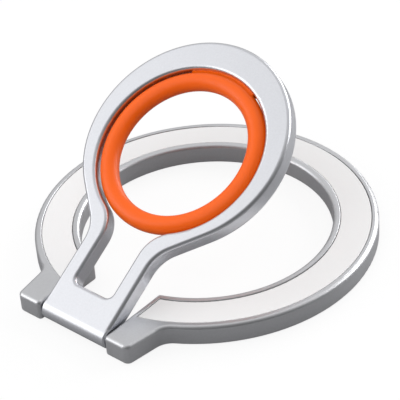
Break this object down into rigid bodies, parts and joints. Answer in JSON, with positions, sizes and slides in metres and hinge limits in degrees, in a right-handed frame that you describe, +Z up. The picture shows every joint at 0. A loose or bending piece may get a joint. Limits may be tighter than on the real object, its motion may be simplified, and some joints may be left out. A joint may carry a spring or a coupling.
{
  "type": "phone ring holder",
  "caption": "Magnetic C-shaped phone ring holder whose keyhole arm folds flat into the ring, swings out on a friction hinge and carries a soft finger ring.",
  "frame": {"origin": "under the middle of the footprint, on the resting plane of the rear pad", "axes": "+Z up away from the phone, hinge axis along X on the -Y side, the arm's tip rises towards +Y"},
  "size_m": [0.0584, 0.0628, 0.0311],
  "materials": {
    "frame": "bead-blasted, silver anodised",
    "arm": "bead-blasted, silver anodised",
    "inlay": "matt off-white",
    "grip_ring": "smooth orange silicone",
    "pad": "matt light grey silicone",
    "steel": "plain steel",
    "washer": "black plastic",
    "magnet": "nickel plated"
  },
  "bodies": {
    "base": {"base_frame": "frame", "top_inlay": "inlay", "shunt_ring": "steel", "rear_pad": "pad", "magnet_01": "magnet", "magnet_02": "magnet", "magnet_03": "magnet", "magnet_04": "magnet", "magnet_05": "magnet", "magnet_06": "magnet", "magnet_07": "magnet", "magnet_08": "magnet", "magnet_09": "magnet", "magnet_10": "magnet", "magnet_11": "magnet", "magnet_12": "magnet", "magnet_13": "magnet", "magnet_14": "magnet", "hinge_pin": "steel", "keeper_left": "steel", "keeper_right": "steel", "keeper_screws": "steel"},
    "arm": {"arm_frame": "arm", "finger_ring": "grip_ring", "friction_clip_left": "steel", "friction_clip_right": "steel", "thrust_washer_left": "washer", "thrust_washer_right": "washer"}
  },
  "joints": [
    {"name": "arm_hinge", "type": "hinge", "parent": "base", "child": "arm", "pos_m": [0, -0.02942, 0.002], "axis": [1, 0, 0], "range_deg": [-32, 147.9]}
  ]
}
